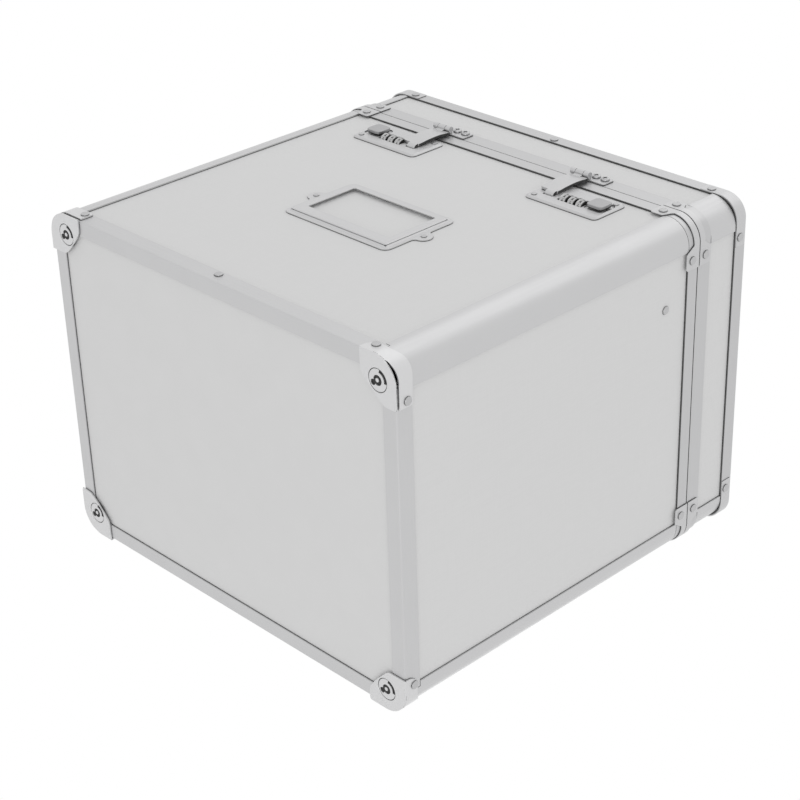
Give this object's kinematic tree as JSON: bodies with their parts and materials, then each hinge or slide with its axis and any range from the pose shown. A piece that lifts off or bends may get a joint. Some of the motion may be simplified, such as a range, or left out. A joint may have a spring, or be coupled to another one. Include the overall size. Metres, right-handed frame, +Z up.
{
  "type": "lockable file box",
  "caption": "Upright file box with aluminium edging and light panels, a hinged lid with stays, combination latches, a card holder and a carrying handle.",
  "frame": {"origin": "middle of the bounding box, on the standing surface under the four foot caps", "axes": "+Z up, -Y the front with the latches and the card holder, +X to the right seen from the front"},
  "size_m": [0.3548, 0.276, 0.359],
  "materials": {
    "edging": "satin anodised",
    "panel": "silver-grey laminate with a fine woven texture",
    "nickel": "bright nickel plate",
    "dial": "bright, black figures",
    "steel": "zinc plate",
    "grip": "black, fine grain"
  },
  "bodies": {
    "case": {"case_bottom_panel": "panel", "case_front_panel": "panel", "case_back_panel": "panel", "case_left_panel": "panel", "case_right_panel": "panel", "case_corner_front_left": "edging", "case_corner_front_right": "edging", "case_corner_back_left": "edging", "case_corner_back_right": "edging", "base_angle_front": "edging", "base_angle_back": "edging", "base_angle_left": "edging", "base_angle_right": "edging", "case_rim": "edging", "case_clip_front_left": "nickel", "case_clip_front_right": "nickel", "case_clip_back_left": "nickel", "case_clip_back_right": "nickel", "foot_cap_front_left": "nickel", "foot_cap_front_right": "nickel", "foot_cap_back_left": "nickel", "foot_cap_back_right": "nickel", "label_holder": "edging", "lock_plate_left": "nickel", "lock_plate_right": "nickel", "file_rail_left": "steel", "file_rail_right": "steel", "hinge_case_leaf": "edging", "hinge_pin": "steel"},
    "lid": {"lid_top_panel": "panel", "lid_front_panel": "panel", "lid_back_panel": "panel", "lid_left_panel": "panel", "lid_right_panel": "panel", "lid_corner_front_left": "edging", "lid_corner_front_right": "edging", "lid_corner_back_left": "edging", "lid_corner_back_right": "edging", "lid_rim": "edging", "lid_top_frame": "edging", "hinge_lid_leaf": "edging", "hasp_hinge_left": "nickel", "hasp_hinge_right": "nickel", "handle_bracket_left": "nickel", "handle_bracket_right": "nickel"},
    "hasp_left": {"hasp_left": "nickel"},
    "dial_left_1": {"dial_left_1": "dial"},
    "dial_left_2": {"dial_left_2": "dial"},
    "dial_left_3": {"dial_left_3": "dial"},
    "release_button_left": {"release_button_left": "nickel"},
    "stay_link_left": {"stay_link_left": "steel"},
    "stay_arm_left": {"stay_arm_left": "steel"},
    "hasp_right": {"hasp_right": "nickel"},
    "dial_right_1": {"dial_right_1": "dial"},
    "dial_right_2": {"dial_right_2": "dial"},
    "dial_right_3": {"dial_right_3": "dial"},
    "release_button_right": {"release_button_right": "nickel"},
    "stay_link_right": {"stay_link_right": "steel"},
    "stay_arm_right": {"stay_arm_right": "steel"},
    "handle_bail": {"handle_bail": "grip"}
  },
  "joints": [
    {"name": "lid_hinge", "type": "hinge", "parent": "case", "child": "lid", "pos_m": [0, 0.13495, 0.29295], "axis": [-1, 0, 0], "range_deg": [0, 95]},
    {"name": "handle_swing", "type": "hinge", "parent": "lid", "child": "handle_bail", "pos_m": [0, 0.01815, 0.3538], "axis": [-1, 0, 0], "range_deg": [0, 90]},
    {"name": "hasp_turn_left", "type": "hinge", "parent": "lid", "child": "hasp_left", "pos_m": [-0.0697, -0.13535, 0.2948], "axis": [-1, 0, 0], "range_deg": [0, 100]},
    {"name": "dial_spin_left_1", "type": "hinge", "parent": "case", "child": "dial_left_1", "pos_m": [-0.0982, -0.12835, 0.2585], "axis": [1, 0, 0], "continuous": true},
    {"name": "dial_spin_left_2", "type": "hinge", "parent": "case", "child": "dial_left_2", "pos_m": [-0.0908, -0.12835, 0.2585], "axis": [1, 0, 0], "continuous": true},
    {"name": "dial_spin_left_3", "type": "hinge", "parent": "case", "child": "dial_left_3", "pos_m": [-0.0834, -0.12835, 0.2585], "axis": [1, 0, 0], "continuous": true},
    {"name": "button_slide_left", "type": "slide", "parent": "case", "child": "release_button_left", "axis": [-1, 0, 0], "range_m": [0, 0.005], "stiffness_N_per_m": 200, "springref_m": -0.002},
    {"name": "stay_link_turn_left", "type": "hinge", "parent": "case", "child": "stay_link_left", "pos_m": [-0.1662, -0.07285, 0.2603], "axis": [-1, 0, 0], "range_deg": [0, 95]},
    {"name": "stay_arm_turn_left", "type": "hinge", "parent": "lid", "child": "stay_arm_left", "pos_m": [-0.1645, 0.09615, 0.3183], "axis": [1, 0, 0], "range_deg": [0, 95]},
    {"name": "hasp_turn_right", "type": "hinge", "parent": "lid", "child": "hasp_right", "pos_m": [0.0697, -0.13535, 0.2948], "axis": [-1, 0, 0], "range_deg": [0, 100]},
    {"name": "dial_spin_right_1", "type": "hinge", "parent": "case", "child": "dial_right_1", "pos_m": [0.0834, -0.12835, 0.2585], "axis": [1, 0, 0], "continuous": true},
    {"name": "dial_spin_right_2", "type": "hinge", "parent": "case", "child": "dial_right_2", "pos_m": [0.0908, -0.12835, 0.2585], "axis": [1, 0, 0], "continuous": true},
    {"name": "dial_spin_right_3", "type": "hinge", "parent": "case", "child": "dial_right_3", "pos_m": [0.0982, -0.12835, 0.2585], "axis": [1, 0, 0], "continuous": true},
    {"name": "button_slide_right", "type": "slide", "parent": "case", "child": "release_button_right", "axis": [1, 0, 0], "range_m": [0, 0.005], "stiffness_N_per_m": 200, "springref_m": -0.002},
    {"name": "stay_link_turn_right", "type": "hinge", "parent": "case", "child": "stay_link_right", "pos_m": [0.1662, -0.07285, 0.2603], "axis": [-1, 0, 0], "range_deg": [0, 95]},
    {"name": "stay_arm_turn_right", "type": "hinge", "parent": "lid", "child": "stay_arm_right", "pos_m": [0.1645, 0.09615, 0.3183], "axis": [1, 0, 0], "range_deg": [0, 95]}
  ],
  "couplings": [
    {"joint": "stay_link_turn_left", "follows": "lid_hinge", "ratio": 1},
    {"joint": "stay_arm_turn_left", "follows": "lid_hinge", "ratio": 1},
    {"joint": "stay_link_turn_right", "follows": "lid_hinge", "ratio": 1},
    {"joint": "stay_arm_turn_right", "follows": "lid_hinge", "ratio": 1}
  ]
}
